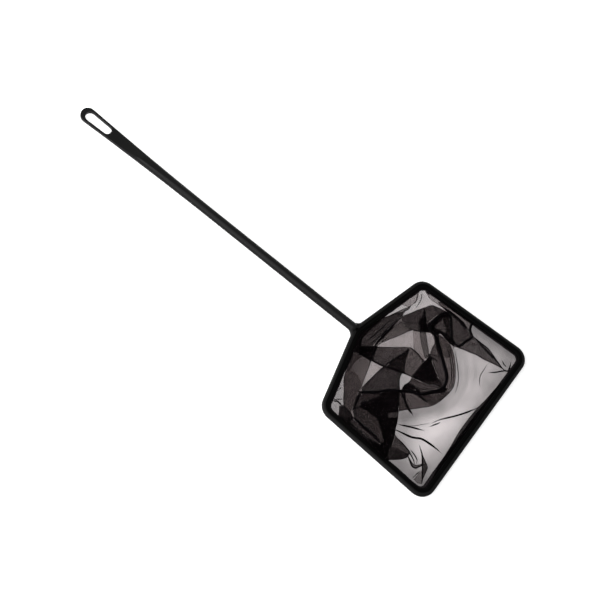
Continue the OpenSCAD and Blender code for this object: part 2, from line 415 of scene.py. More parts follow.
fold("under_right", 1, 0.05, 0.3, [
    (429, 354.5), (431, 350.5), (433.3, 346), (434.3, 343), (433, 337.5), (431.5, 334),
    (438.4, 334), (443.9, 338.5), (448.5, 343.5), (452.1, 349), (454.2, 356), (455.3, 364),
    (455.6, 372), (455.1, 379.5), (453.6, 386.5), (450.3, 391.8), (445.5, 396.6), (439, 402),
    (431.5, 406.1), (422.5, 407.8), (411, 409.4), (399.1, 411), (398.6, 401), (399.5, 391.5),
    (401.5, 389.5), (404.1, 385), (408.5, 382.3), (411.7, 377.5), (418, 369.5), (424, 361.8),
    (428, 357.5),
])
fold("shoulder_fold", 1, 1.0, 0.6, [
    (360, 345.5), (361, 340), (366, 333.5), (372, 328), (378, 323), (384, 318.2), (390, 315.5),
    (396, 313.5), (403, 311.5), (402.3, 315.5), (398.5, 318.8), (393, 323.8), (387, 330.3),
    (382, 335.3), (376.5, 341), (373, 345.5), (366, 346.5),
])
fold("shoulder_dark", 3, 1.6, 0.4, [
    (351, 349), (352, 341), (357, 335), (366, 327.5), (376, 320.5), (383.5, 316.8), (380, 322),
    (373, 328), (366.5, 334), (361.8, 340.5), (361, 346), (358, 351),
])
fold("below_shoulder", 3, 1.5, 0.6, [
    (352, 350), (361, 345.8), (367, 346.3), (373, 345.8), (378, 345.9), (376.2, 351), (373.8, 357),
    (371.2, 360), (364, 356.6), (357, 353), (351, 353),
])
fold("tri_three", 1, 0.15, 0.8, [
    (381, 343.3), (384, 337), (390, 330.5), (396, 325), (401.2, 320.8), (404, 325), (409, 328.5),
    (412.5, 330), (404, 333.7), (396, 337.2), (388, 340.2),
])
fold("arch_left", 1, 0.95, 0.8, [
    (401.5, 318), (408.7, 313.7), (415.6, 310.8), (424.8, 308), (424, 313), (421.5, 318),
    (419.5, 322.8), (408, 322.8), (402, 321.5),
])
fold("arch_low", 1, 0.75, 0.7, [
    (402.3, 322.5), (408, 322.6), (419.5, 322.6), (420, 332), (413, 330.4), (408, 328),
])
fold("arch_middle", 1, 0.6, 0.8, [
    (425, 308.2), (432, 305), (435, 308), (438.8, 314.3), (434, 317), (430, 320.5), (427, 323),
    (425.8, 318),
])
fold("arch_right", 1, 0.85, 0.7, [
    (433, 305.3), (440, 308.3), (446, 311), (442, 313), (438.8, 314.8), (436, 310.5),
])
fold("seam_panel", 1, 0.45, 0.5, [
    (450.6, 314.5), (455, 318), (460.4, 322), (465.5, 326.5), (470, 331.2), (472, 334),
    (473, 336.6), (469, 339.3), (465.9, 341), (461.3, 345.1), (458.1, 346.3), (454.2, 342.8),
    (452.1, 338.2), (451.7, 331.3), (451.2, 322.1),
])
fold("centre_left", 1, 0.65, 0.8, [
    (375.5, 347), (384, 346.8), (398, 347.3), (410, 347.5), (404, 352.5), (398, 356.8),
    (392, 360.5), (388.5, 364), (385, 366.3), (378, 363.2), (372, 359.3), (374, 353.5),
])
fold("centre_right", 1, 0.1, 0.6, [
    (410.5, 347.3), (417.2, 353.8), (424.2, 361.4), (418, 369.5), (412, 377.2), (404.2, 373.3),
    (404.6, 366), (406, 358), (408.3, 352),
])
fold("centre_dark", 2, 1.1, 0.8, [
    (409.5, 348), (407.8, 354), (405.6, 360), (404.7, 367), (404.2, 373.2), (398, 370.6),
    (387, 366.3), (391, 361.5), (397.7, 357.2), (404, 352.8),
])
fold("lower_centre", 1, 1.6, 0.8, [
    (385, 366.8), (392, 368.8), (398, 371.3), (402.5, 373.2), (400.3, 377.5), (399.7, 385),
    (399.6, 389.8), (390, 390), (378, 391.3), (362, 391.8), (361.8, 387.5), (366.4, 383.2),
    (372, 378.2), (378.5, 371.8),
])
fold("left_flap", 1, 0.2, 0.6, [
    (343.7, 377.5), (346, 370), (350, 361), (352, 353.5), (357, 353.3), (364, 356.8), (371.2, 361),
    (369.5, 366.5), (367.2, 372), (364.3, 379.8), (361.1, 387.1), (358.4, 392.2), (356.1, 399.5),
    (353.3, 406.4), (350.5, 413), (347.5, 409.5), (343.7, 405), (343.7, 390),
])
fold("left_flap_top", 1, 0.6, 0.2, [
    (347.5, 367), (350.5, 358), (352, 353.5), (358, 354), (362, 357), (356, 361), (352, 367),
    (348, 372),
])
fold("left_flap_side", 1, 0.12, 0.1, [
    (343.7, 377.5), (347, 369), (352, 370), (358, 376), (361, 384), (357, 395), (353, 406),
    (350, 411), (347.5, 409), (343.7, 405), (343.7, 390),
])
fold("window_fold", 1, 0.0, 0.2, [
    (413, 330.5), (419.5, 331.4), (420.5, 338), (422, 346), (424.5, 356), (424.6, 361),
    (420, 356.5), (414, 349.5), (413.5, 340),
])
fold("band_left_of_window", 1, 1.05, 0.7, [
    (419.7, 331.5), (426, 332), (426.8, 338), (428, 346), (429, 354), (427.8, 358.5), (425.3, 359),
    (423.5, 352.5), (421, 342),
])
fold("strip_right_of_window", 1, 0.72, 0.8, [
    (432, 347.5), (434.5, 343.8), (437, 349), (440.5, 357), (436, 356.5), (430.3, 354.5),
])
fold("right_curve", 1, 0.05, 0.5, [
    (437.6, 333.6), (444.7, 337.6), (449.6, 342.8), (452.1, 349), (454.2, 356), (455.3, 364),
    (455.4, 372), (455.1, 379), (453.6, 386), (450.3, 391.5), (445.5, 396.3), (439, 401.8),
    (431.5, 405.9), (422.5, 407.7), (411, 409.3), (399.1, 411), (398.6, 401), (398.9, 390.8),
    (404.5, 392), (416, 391.6), (427, 391), (437, 390.5), (444.8, 385), (445.3, 375.7),
    (442.8, 364), (439.7, 352),
])
fold("right_curve_top", 1, 0.35, 0.1, [
    (438, 335), (444.7, 338.5), (449.6, 343.5), (452, 350), (452, 357), (446, 358), (441, 352),
    (438.5, 343),
])
fold("bottom_band_dark", 1, 0.5, 0.2, [
    (421, 396), (431, 395), (441, 393.6), (450, 391), (445.5, 396), (439, 401.2), (431, 405.4),
    (427.5, 402.7),
])
fold("bottom_left_strip", 1, 0.15, 0.4, [
    (399, 392), (402, 393), (404.5, 398.5), (408, 409.5), (399.1, 411), (398.6, 401),
])
fold("right_of_triangle", 1, 0.95, 0.8, [
    (429, 354), (436, 355), (441, 357), (443, 364), (444.7, 371), (445.8, 377.5), (444.8, 383.5),
    (442, 386.5), (439.3, 380), (435, 369.3), (432.3, 361.9),
])
fold("below_triangle", 1, 1.0, 0.8, [
    (411.7, 377.7), (417, 380.3), (424, 383), (430, 384.8), (436, 386), (442, 388.3), (437, 390.8),
    (427, 390), (417, 389), (404, 390), (401.4, 389.5), (404, 385.2), (408.5, 382.3),
])
fold("below_triangle_dark", 2, 0.9, 0.5, [
    (414.5, 378.4), (424, 380.4), (430, 380.2), (438.8, 378.8), (442.5, 384.8), (444, 388.5),
    (441.5, 388), (436, 385.8), (430, 384.6), (424, 382.8),
])
fold("below_triangle_left", 2, 0.85, 0.4, [
    (404, 385.2), (408.5, 382.5), (411, 384), (415, 386.5), (417, 389.5), (410, 390.5),
    (401.4, 390),
])
fold("between_bars", 1, 0.65, 0.6, [
    (419, 388.6), (428, 389.6), (440, 390), (431, 392.8), (421, 394.4),
])
fold("triangle_black", 3, 1.6, 0.9, [
    (429.3, 356), (426.5, 359.2), (423.8, 362), (418, 369.3), (411.9, 377.2), (417, 379.8),
    (423.8, 381.3), (430, 381.2), (438.8, 379.6), (434.6, 369), (431.8, 361.8),
])
fold("spike", 3, 1.5, 1, [
    (424.6, 308), (425.4, 313), (426, 319), (427, 324), (432, 320.3), (437.5, 315.2), (441, 313),
    (445, 310.8), (449.5, 313), (451, 320), (448, 317.5), (444.5, 317.5), (441, 320.5),
    (436, 325.5), (434.8, 328), (437, 333.5), (426, 332.5), (420, 331.8), (419, 326), (419.3, 321),
    (422.3, 316),
])
fold("knot_right", 2, 0.9, 0.7, [
    (442, 317.5), (448.5, 316.5), (450.6, 325), (451.4, 333.5), (453, 341), (449, 338), (445, 333),
    (446.6, 330.6), (444, 323),
])
fold("knot_wedge", 1, 0.6, 0.9, [
    (434.6, 326.5), (437, 323), (443.4, 318.6), (445.8, 324), (448, 331.7), (446, 334),
    (441, 331.4), (435, 329.4),
])
fold("knot_low", 3, 1.6, 0.9, [
    (435, 328), (440.5, 330.5), (446, 333.5), (449.5, 336), (453, 341.5), (455, 347),
    (449.5, 343.5), (444.3, 337.5), (440.5, 333.8), (436.5, 334.5),
])
fold("inner_line", 3, 1.6, 1, [
    (432.5, 332), (437.5, 333.5), (439, 336.5), (440, 343), (441.8, 350), (444, 357.5), (446, 365),
    (447.6, 372), (448.3, 378), (447.2, 384), (444.5, 389.3), (442, 388), (444.3, 383.5),
    (445.2, 377.5), (444, 370.5), (442, 363.5), (439.5, 356), (437.3, 350), (435, 343.5),
    (434.4, 338.5),
])
fold("bar_right", 3, 1.2, 1, [
    (417.5, 396), (419, 394), (427, 393), (434, 391.8), (440, 390.5), (445, 387.5), (448, 388.5),
    (445.5, 392), (440, 393.4), (433.9, 394), (426.9, 395.4),
])
fold("bar_middle", 3, 1.2, 1, [
    (397.5, 389.6), (404.1, 389.8), (410.1, 390.2), (416.4, 390.3), (417, 392.8), (410.1, 392.8),
    (404.1, 392.6), (397.5, 391.8),
])
fold("bar_loop", 2, 1.2, 1, [
    (415.6, 389.3), (419.5, 388.6), (420.6, 391), (420.3, 395.5), (418, 396.5), (416.6, 394),
])
fold("mass_top_bar", 2, 1.2, 1, [
    (358.5, 391.2), (372, 390.8), (385, 389.6), (399.5, 389.2), (399.5, 391.2), (385, 391.4),
    (372, 392.6), (359.5, 392.8),
])
fold("below_left_line", 1, 1.35, 0.8, [
    (360.5, 393.5), (363, 399), (362, 405.5), (355, 409), (353.5, 408.5), (357, 401),
])
fold("left_line", 1, 1.2, 1, [
    (359, 392), (361.8, 392.2), (359.4, 399), (356.5, 406), (353.6, 410.8), (351.8, 410),
    (354.4, 405), (357, 397),
])
fold("under_bar", 2, 0.6, 0.7, [
    (361, 392.5), (384, 393), (378, 396.8), (371, 400.3), (366, 402.3), (362, 402.3),
    (362.5, 397.5),
])
fold("black_mass", 3, 1.6, 1, [
    (362, 401.5), (366, 402), (371, 399.8), (378, 396.3), (383, 392), (391, 390.4), (398.8, 390),
    (398.9, 400), (398.5, 409), (398.3, 412), (388.5, 413), (388, 417.7), (397.8, 417.5),
    (397.2, 423), (395.9, 428.3), (394.9, 434), (393.4, 441.2), (391.5, 446), (389, 450.5),
    (387.2, 455), (386, 460), (379, 452), (366, 440.8), (372.5, 440.5), (379.5, 444.2),
    (384.5, 441.5), (382.2, 434), (379.8, 427), (377.3, 419), (371.5, 415), (368, 411.5),
    (361, 408), (360, 405),
])
fold("mass_light_patch", 1, 0.6, 0.5, [(388, 412.5), (398.5, 411.5), (398, 418), (387.5, 418)])
fold("low_middle", 2, 0.5, 0.6, [
    (352.8, 411.5), (357, 406.8), (362, 406.6), (368.6, 411), (372.3, 414.6), (378, 418.6),
    (380.5, 427), (383.3, 436), (385.4, 442.6), (381, 444.2), (377, 441), (370, 434), (362, 427),
    (355.5, 420),
])
fold("ring_band", 1, 1.4, 0.6, [
    (347.4, 417.6), (351, 416.8), (353.8, 419.8), (356.1, 422.1), (363.9, 428.8), (373.1, 436),
    (380, 440), (379, 444.2), (372, 440.6), (364, 434.3), (355.9, 428), (348, 421.8),
])
fold("below_ring_band", 2, 1.1, 0.5, [
    (339, 414.5), (348, 421), (356, 427.6), (364, 434.5), (372, 440.5), (379.5, 444.5), (385, 450),
    (386, 460), (379, 453), (366, 441.5), (356, 433), (346, 424),
])
fold("left_corner_dark", 2, 1.1, 0.8, [
    (339.4, 405.6), (341.6, 406.8), (343.7, 405.6), (349, 410.8), (351.6, 413.6), (353.4, 419.5),
    (349, 422), (343.5, 419.5), (338, 416.5), (339.2, 410),
])
fold("low_flap", 1, 0.6, 0.7, [
    (395, 436.4), (399.5, 440.2), (404, 445.2), (408.7, 450.8), (409.5, 454.5), (406.9, 457.7),
    (399.5, 459.7), (388, 460), (386.5, 456), (389.4, 449.9), (392, 445.8), (394, 441.2),
])
fold("low_flap_dark", 1, 0.7, 0.4, [
    (391.2, 447), (395, 447.5), (400, 450), (406, 453), (408.8, 454.5), (406.9, 457.7),
    (399.5, 459.7), (388, 460), (387.3, 455), (389.4, 450.5),
])
fold("low_loop", 1, 1.3, 0.9, [
    (406.4, 454), (409.3, 457.3), (412, 462), (414.8, 464.9), (418.5, 464.6), (422.3, 463.6),
    (422.4, 466), (418.8, 467.6), (415.8, 468.6), (412.8, 467.2), (410.6, 463.6), (408.4, 459),
])
fold("low_wedge", 2, 0.8, 0.8, [
    (421.4, 452), (423.8, 457.2), (425.2, 460.5), (427, 464.1), (427.9, 467.5), (426.8, 471),
    (424.9, 475.1), (423.2, 479), (422.2, 483.5), (421.9, 476.5), (422.1, 469.6), (421.9, 462.8),
])
fold("low_wedge_side", 1, 0.3, 0.3, [
    (421.8, 470.3), (417.6, 474.6), (413.8, 479.5), (417, 483), (421.6, 484), (422, 477),
])
fold("right_wedge", 2, 0.45, 0.8, [
    (458.3, 348.4), (461, 344.6), (465.4, 341.8), (470.4, 339), (473.9, 337), (476.5, 338.6),
    (481, 342.3), (488.4, 348.2), (493, 354.4), (497.5, 360.8), (502.1, 367.2), (504.5, 370),
    (502.1, 368.9), (497.5, 366.2), (489.7, 362.5), (482.9, 359.2), (475.5, 354.8), (470, 352.9),
    (463.6, 349.9),
])
fold("ring_strip", 2, 0.2, 0.3, [
    (438, 302), (441.6, 301.8), (447.5, 305.6), (456.7, 311.7), (465.9, 318.2), (472, 323.4),
    (470.6, 328.6), (468.5, 331.4), (464.5, 327), (460.4, 322), (455, 317.5), (449.8, 312.8),
    (444.8, 309.2), (440.2, 305.8),
])
fold("far_end_gather", 2, 0.9, 0.3, [
    (500, 383), (493, 391), (485.5, 399.5), (478, 407), (468, 419), (458, 433), (450, 447),
    (443, 458), (436, 470), (432, 480), (441, 475), (449, 462), (463.5, 441), (473.5, 427),
    (483.5, 413), (493, 401), (502, 387),
])
fold("top_pleat", 1, 0.9, 0.8, [
    (384, 318), (395, 312.6), (404, 308.6), (411.5, 305.4), (409, 309.5), (403, 312), (395, 314.8),
])
# top_corner_shade and top_corner_shade_right are plies laid as painted shade, darkening the sheet
# near the ring's top corner.
fold("top_corner_shade", 1, 0.1, 0.3, [
    (400, 304), (408, 298.5), (416, 293.4), (419.5, 291), (418.5, 296), (417, 301), (413.3, 304.5),
    (408, 307),
])
fold("top_corner_shade_right", 1, 0.25, 0.3, [
    (425, 291), (432, 294.5), (440, 300.4), (446, 304.8), (449, 308.6), (441, 307), (436, 303.5),
    (430, 299),
])

pleat("crease_1", 1.8, [
    (397, 423.6), (401.4, 425.1), (406.9, 426.1), (412.4, 427.4), (417, 428.6), (420.6, 429.7),
    (424.4, 430.6),
])
pleat("crease_2", 1.7, [
    (431.5, 423.6), (435.1, 421.6), (439.9, 419.7), (447.5, 417.8), (454.4, 416.2), (461.3, 414.2),
    (468.2, 411.8), (475, 409), (479.8, 406.2),
])
pleat("crease_2b", 1.3, [(429.3, 427.4), (433.8, 424.9), (437.4, 423.8), (440.6, 422.1)])
pleat("soft_crease", 0.5, [(406, 424.6), (411, 425.6), (416, 425.6), (423, 424.3), (430, 423.4)])
pleat("crease_3", 2.1, [
    (390.5, 428.6), (396.8, 430.4), (401.4, 432.5), (406.9, 435.2), (411.4, 437.1), (416, 438),
    (419.7, 438.3), (423.4, 439.8), (428, 442.6), (432.6, 445.8), (437.1, 449.4), (441.8, 453.8),
])
pleat("spike_1", 2.6, [
    (399.6, 389), (402, 394), (405, 400.6), (408.2, 408.4), (410.1, 410.9), (413, 415.6),
])
pleat("spike_1b", 2, [(403.9, 390.5), (404.5, 394), (405.2, 399)])
pleat("spike_2", 2.4, [(416.8, 394.8), (422.5, 398.3), (427.4, 402.6)])
pleat("line_over_triangle", 1.5, [(429.4, 355.4), (433.4, 358.4), (439.4, 361.6)])
pleat("triangle_tip", 1.8, [(428.6, 353.6), (430, 357), (431.6, 361.5)])
pleat("curve_streak_1", 0.8, [
    (445, 343), (448.5, 352), (450.8, 362), (451.6, 372), (451.2, 381), (448.6, 389),
])
pleat("curve_streak_2", 0.7, [
    (448, 345.5), (451, 353), (452.8, 362), (453.6, 372), (453, 381), (450.6, 388.5),
])
pleat("shoulder_streak_1", 0.9, [(366, 341.5), (375, 334.5), (384, 326), (391.5, 318.5)])
pleat("shoulder_streak_2", 0.8, [(370.5, 344), (379, 337), (388, 328.3), (396, 320)])
pleat("left_edge_line", 2.2, [(360, 391), (358, 397), (355.4, 404), (352.6, 410.5)])
pleat("left_short_line", 1.6, [(355.4, 408.6), (359.5, 408.4)])
pleat("low_line_1", 1.4, [
    (406.4, 453.6), (409.6, 460.5), (411.4, 465), (413.3, 467.3), (416, 468.4), (418.8, 466.6),
    (422.5, 465.2), (425.4, 464.4),
])
pleat("low_line_2", 1.3, [(407.6, 450.6), (411.9, 456.8), (413.7, 460.5), (414.9, 464.9)])
pleat("low_line_3", 1.2, [
    (409.8, 449.6), (413.4, 453.4), (415.9, 457), (417.1, 460.5), (416.7, 463), (415.1, 464.8),
])
pleat("low_flap_edge", 1, [
    (395.9, 436.6), (403.2, 443.7), (408.7, 450.6), (411.4, 453.6), (413.6, 457),
])
pleat("wedge_line", 1.4, [
    (419, 444.4), (420.6, 449.4), (422, 454), (422.3, 462.8), (422.5, 469.6), (422.2, 476.5),
    (421.7, 484.5),
])
pleat("wedge_crease", 1, [(421, 470), (418.3, 472.4), (415.6, 475.1), (412, 478.6)])
pleat("right_wedge_line", 1.8, [
    (474.2, 336.6), (478.4, 341.8), (483.6, 347.6), (488.6, 352.8), (494.5, 359), (500, 364.6),
])
pleat("corner_line", 1.5, [
    (502.1, 368.2), (505, 370.6), (508.1, 371.2), (509.9, 366.8), (511, 361.8),
])
pleat("corner_spike", 1.4, [(487.9, 372.4), (495.7, 372.3), (502.1, 371.1), (508, 371)])
pleat("corner_crease", 1.1, [(501.9, 360.5), (504, 364.5), (506.5, 367.2)])
pleat("soft_curve", 0.8, [
    (487, 364.1), (485.2, 367.8), (482.4, 371.9), (480.1, 376), (479.6, 380.6), (479.6, 386),
])
pleat("outer_curve", 0.8, [
    (452.6, 346.5), (454.4, 350), (456.4, 359.2), (457.8, 368.3), (458.4, 377.5), (457.7, 384.9),
    (456.2, 389.3), (454.8, 395),
])
pleat("ring_line", 2.7, [
    (440.2, 305.6), (444.8, 308.8), (449.8, 312), (454.9, 316.2), (460.4, 320.8), (464.1, 324),
    (467.4, 328.4),
])
pleat("ring_line_2", 2.2, [(459.4, 321.9), (462.7, 325.4), (466.6, 330)])
pleat("top_line_a", 0.8, [(417.4, 292), (417.2, 296.9), (416.1, 301.1), (413, 304.2)])
pleat("top_line_b", 0.8, [
    (421.9, 292), (421.6, 297.4), (419.8, 302), (417.5, 305.7), (415.6, 308.4),
])
pleat("top_line_c", 1, [(426.2, 291.6), (430, 295.6)])
pleat("left_crease_a", 0.9, [(337, 391), (341.8, 387.3)])
pleat("left_crease_b", 1, [(332.8, 399.5), (343.2, 399)])
pleat("left_crease_c", 1.6, [(332, 400.9), (337.7, 401.5), (340.5, 404.1), (342.5, 407.2)])
pleat("low_line", 2.8, [
    (351.6, 415.8), (353.6, 417.9), (359.3, 422.9), (365.2, 428.4), (372.8, 434.2), (379, 439.2),
])
pleat("long_fold", 2.6, [
    (404.5, 314.8), (396.4, 321.9), (393, 325.6), (388.5, 330.8), (384, 335), (381.4, 338.2),
    (375.8, 344.6), (372.7, 352.4),
])
pleat("diagonal", 1.5, [
    (410.8, 347), (405, 352), (397.7, 357), (391, 361), (385, 366), (378.5, 371.5), (372, 378),
    (366.5, 383), (361, 388.2),
])
pleat("straight", 2, [
    (357, 352.6), (364, 356.3), (371, 359.8), (382, 365.4), (389, 368), (397, 370.9), (404, 373.4),
    (412, 377.2),
])
pleat("centre_edge", 1, [(410.4, 346.8), (417.5, 353.5), (424.2, 361.2), (427, 360)])

# The sewn seam that runs through the bag
SEAM = [
    (474.2, 320.6), (471.4, 325), (470.2, 329.5), (471.2, 333.6), (472.6, 336.2), (470, 338.9),
    (466.4, 341), (461.3, 345.1), (458.1, 346.3), (454.2, 342.8), (452.1, 338.2), (451.7, 331.3),
    (451.2, 322.1), (449.8, 315.7), (447, 312.4), (442, 314), (436, 318.5), (430, 324.5),
    (431, 331), (435.8, 336.8), (439, 345), (441.6, 354.3), (443.8, 362), (446.4, 370),
    (447.4, 376.6), (446.3, 383), (443, 388), (437, 390.6), (427, 392.8), (419, 394.6),
    (411, 392.2), (401, 391), (390, 390), (378, 391.8), (361.4, 392.2),
]

# Painted shade and painted light: each line below darkens the single sheet (extra above 0) or
# lightens it (extra below 0) by how close its mesh is drawn; only part of this is real bunching.
bunch_and_shade("under_pile", -0.35, 22, [(372, 345), (435, 325), (438, 370), (385, 375), (380, 425)])
bunch_and_shade("left_window", -0.4, 8, [(372, 366), (366, 376)])
bunch_and_shade("top_window", -0.2, 10, [(390, 341), (408, 339)])
bunch_and_shade("beside_c_fold", 0.35, 7, [
    (454, 350), (458, 368), (457, 385), (451, 397), (436, 409), (418, 414), (399, 418),
])
bunch_and_shade("soft_arc", 0.3, 2.5, [
    (463, 350), (467, 366), (467, 382), (461, 397), (450, 409), (438, 416),
])
bunch_and_shade("soft_arc_outer", 0.25, 2, [(474, 357), (476, 374), (471, 392), (460, 406)])
bunch_and_shade("light_middle", -0.65, 18, [(418, 440), (434, 430), (452, 424)])
bunch_and_shade("light_right", -0.3, 12, [(464, 404), (474, 392)])
bunch_and_shade("far_end", 0.75, 14, [(506, 378), (488, 402), (468, 430), (448, 458), (428, 484)])
bunch_and_shade("top_corner", 0.1, 7, [(406, 306), (423, 296), (436, 304)])
bunch_and_shade("left_corner", 0.6, 12, [(338, 388), (335, 406)])
bunch_and_shade("low_corner", 0.95, 12, [(396, 466), (410, 478), (421, 486)])
bunch_and_shade("right_corner", 0.6, 13, [(478, 330), (497, 344), (512, 358)])
bunch_and_shade("right_corner_edge", 1, 5, [(476, 326), (500, 343), (516, 355)])
bunch_and_shade("middle_window", 0.6, 10, [(404, 380), (406, 382)])
bunch_and_shade("bottom_band", 0.5, 9, [(405, 402), (425, 400)])
bunch_and_shade("below_curve", 0.35, 6, [(440, 408), (430, 411.5), (415, 414), (402, 416)])
bunch_and_shade("beside_mass", 0.7, 13, [(398, 412), (402, 424), (404, 440)])

# the bag's mesh
PX_LEFT, PX_TOP, PX_WIDE, PX_HIGH = 305, 262, 235, 254
HEM_HIDDEN = 5 * MM
PLY = 0.5 * MM
HEM_LIES = LEDGE_TOP + 0.2 * MM
BASE_LOW = 1.3 * MM
RIPPLE = 0.75 * MM
RIPPLE_PX = 17
BUNCH_SPECK_PX = 9
BUNCH_SPECK = 0.12
BASE_DRAWN = 1.28
SLACK_PX = 26
POINT_PX = 1.9
EDGE_PX = 0.8
# How far in the rows along an edge start, and then the loose grid, in edge widths
ROW_CLEARANCES = 0.85, 1.8, 0.85, 1.8, 2.4
FOLD_STEP_PX = 1.1
FOLD_CREASE_PX = 0.8
PLY_INSET_PX = 0.35
PLEAT_STEP_PX = 1.3
PLEAT_GATHER = 1.3
PLEAT_CREASE_PX = 4
SWELL_PX = 0.9
SWELL_SHARE = 0.45
FOLD_SEED, PLEAT_SEED = 10, 400
SHEET_TURN = 0.35
PLY_TURN = math.pi / 2 * 0.618


def closed_inside(points, outline):
    """Which of the points lie inside a closed outline."""
    x, y = points[:, 0], points[:, 1]
    found = np.zeros(len(points), bool)
    for (ax, ay), (bx, by) in zip(outline, np.roll(outline, -1, axis=0)):
        crosses = (ay > y) != (by > y)
        if ay != by:
            found ^= crosses & (x < (bx - ax) * (y - ay) / (by - ay) + ax)
    return found


def distance_to(points, line, closed):
    """How far each point is from a line, in pixels."""
    ends = np.roll(line, -1, axis=0) if closed else line[1:]
    starts = line if closed else line[:-1]
    nearest = np.full(len(points), 1e9)
    for a, b in zip(starts, ends):
        run = b - a
        share = np.clip((points - a) @ run / max(run @ run, 1e-9), 0, 1)
        nearest = np.minimum(nearest, np.linalg.norm(points - a - share[:, None] * run, axis=1))
    return nearest


def flowing(line, closed, steps=4, sharp=0.75):
    """A traced line as a curve through its points, still sharp where it turns a corner."""
    line = [Vector(p) for p in line]
    count = len(line)
    out = []

    def slope(i):
        before, here, after = line[(i - 1) % count], line[i % count], line[(i + 1) % count]
        if not closed and i in (0, count - 1):
            return None
        one, two = here - before, after - here
        if one.length * two.length == 0 or one.normalized().dot(two.normalized()) < sharp:
            return None
        return (one.normalized() + two.normalized()).normalized()

    for i in range(count if closed else count - 1):
        here, after = line[i], line[(i + 1) % count]
        reach = (after - here).length
        first = slope(i)
        second = slope((i + 1) % count)
        lead = (first or (after - here).normalized()) * reach
        tail = (second or (after - here).normalized()) * reach
        for k in range(steps):
            t = k / steps
            out.append(
                here * (2 * t**3 - 3 * t**2 + 1) + lead * (t**3 - 2 * t**2 + t)
                + after * (3 * t**2 - 2 * t**3) + tail * (t**3 - t**2)
            )
    if not closed:
        out.append(line[-1])
    return np.array([tuple(p) for p in out])


def thinned(line, step):
    """A curve with its points about a step apart, its first and last kept."""
    kept = [line[0]]
    for p in line[1:]:
        if np.linalg.norm(p - kept[-1]) >= step:
            kept.append(p)
    return np.array(kept)


def clipped(outline, mouth):
    """The part of an outline inside the hoop's mouth, which is convex."""
    area = sum(a[0] * b[1] - b[0] * a[1] for a, b in zip(mouth, np.roll(mouth, -1, axis=0)))
    way = 1 if area > 0 else -1
    for a, b in zip(mouth, np.roll(mouth, -1, axis=0)):
        run = b - a
        side = [way * (run[0] * (p[1] - a[1]) - run[1] * (p[0] - a[0])) for p in outline]
        kept = []
        for i, p in enumerate(outline):
            q = outline[(i + 1) % len(outline)]
            s, t = side[i], side[(i + 1) % len(outline)]
            if s >= 0:
                kept.append(p)
            if (s >= 0) != (t >= 0):
                kept.append(p + (q - p) * s / (s - t))
        outline = kept
        if len(outline) < 3:
            return np.zeros((0, 2))
    return np.array(outline)


def square_to(run):
    """Unit vectors square to a line's directions."""
    run = run / np.maximum(np.linalg.norm(run, axis=1), 1e-9)[:, None]
    return np.stack([-run[:, 1], run[:, 0]], axis=1)


def round_normals(outline):
    return square_to(np.roll(outline, -1, axis=0) - np.roll(outline, 1, axis=0))


def widened(line, width):
    """The outline of a narrow pleat along a line, pointed at both ends."""
    normal = square_to(np.gradient(line, axis=0))
    share = np.linspace(0, 1, len(line))
    half = (width / 2 * np.minimum(1, 0.12 + 3.2 * np.minimum(share, 1 - share)))[:, None]
    return np.concatenate([line + normal * half, (line - normal * half)[::-1]])


GRID_Y, GRID_X = np.mgrid[0:PX_HIGH, 0:PX_WIDE]
GRID = np.stack([GRID_X.ravel() + PX_LEFT, GRID_Y.ravel() + PX_TOP], axis=1).astype(float)


def at(field, points):
    """A field on the pixel grid, read at points."""
    x = np.clip(points[:, 0] - PX_LEFT, 0, PX_WIDE - 1.001)
    y = np.clip(points[:, 1] - PX_TOP, 0, PX_HIGH - 1.001)
    i, j = x.astype(int), y.astype(int)
    u, v = x - i, y - j
    top = field[j, i] * (1 - u) + field[j, i + 1] * u
    low = field[j + 1, i] * (1 - u) + field[j + 1, i + 1] * u
    return top * (1 - v) + low * v


def neighbours(field):
    padded = np.pad(field, 1, mode="edge")
    steps = ((0, 1), (0, -1), (1, 0), (-1, 0))
    return [padded[1 + a : 1 + a + PX_HIGH, 1 + b : 1 + b + PX_WIDE] for a, b in steps]


def laid_over(below, here):
    """The heights at which a ply comes to rest on what lies below it."""
    weight = here.astype(float)
    rest = np.where(here, below, 0)
    for _ in range(3):
        rest = np.maximum(rest, np.max(neighbours(rest), axis=0) * (weight > 0) * 0.97)
    for _ in range(10):
        total = rest * weight + sum(n * w for n, w in zip(neighbours(rest), neighbours(weight)))
        share = weight + sum(neighbours(weight))
        rest = np.where(share > 0, total / np.maximum(share, 1e-9), 0)
        rest = np.where(here, np.maximum(rest, below), rest)
        weight = np.maximum(weight, (share > 0) * 1.0)
    return rest


mouth_mm = hoop_line(RIM_W + 0.25 * MM)
mouth = np.array([to_pixel(Vector((*p, RING_Z))) for p in mouth_mm])
hidden_edge = hoop_line(HEM_HIDDEN, 1.2 * MM)
base_outline = np.array([to_pixel(Vector((*p, HEM_LIES))) for p in hidden_edge])


def base_height(points):
    """How high the single sheet lies: clamped at the hem, slack and softly rippled inside."""
    away = distance_to(points, mouth, True)
    within = closed_inside(points, mouth)
    slack = np.where(within, np.clip(away / SLACK_PX, 0, 1), 0)
    slack = slack * slack * (3 - 2 * slack)
    places = [Vector((x / RIPPLE_PX, y / RIPPLE_PX, 3.3)) for x, y in points]
    ripple = np.array([noise.fractal(p, 0.9, 2.0, 3) for p in places])
    return HEM_LIES * (1 - slack) + slack * (BASE_LOW + RIPPLE * ripple)


def bunching_and_shade(points):
    """How much closer the single sheet's mesh is drawn at each point: painted shade where it is
    drawn closer, painted light where it is drawn thinner, with some real bunching and a random
    speckle.
    """
    drawn = np.full(len(points), BASE_DRAWN)
    for extra, reach, line in SHEET_BUNCHES_AND_SHADE.values():
        away = distance_to(points, np.array(line, float), False)
        drawn += extra * np.exp(-((away / reach) ** 2))
    places = [Vector((x / BUNCH_SPECK_PX, y / BUNCH_SPECK_PX, 7.7)) for x, y in points]
    soft = np.array([noise.fractal(p, 0.8, 2.0, 3) for p in places])
    return drawn * (1 + BUNCH_SPECK * soft)


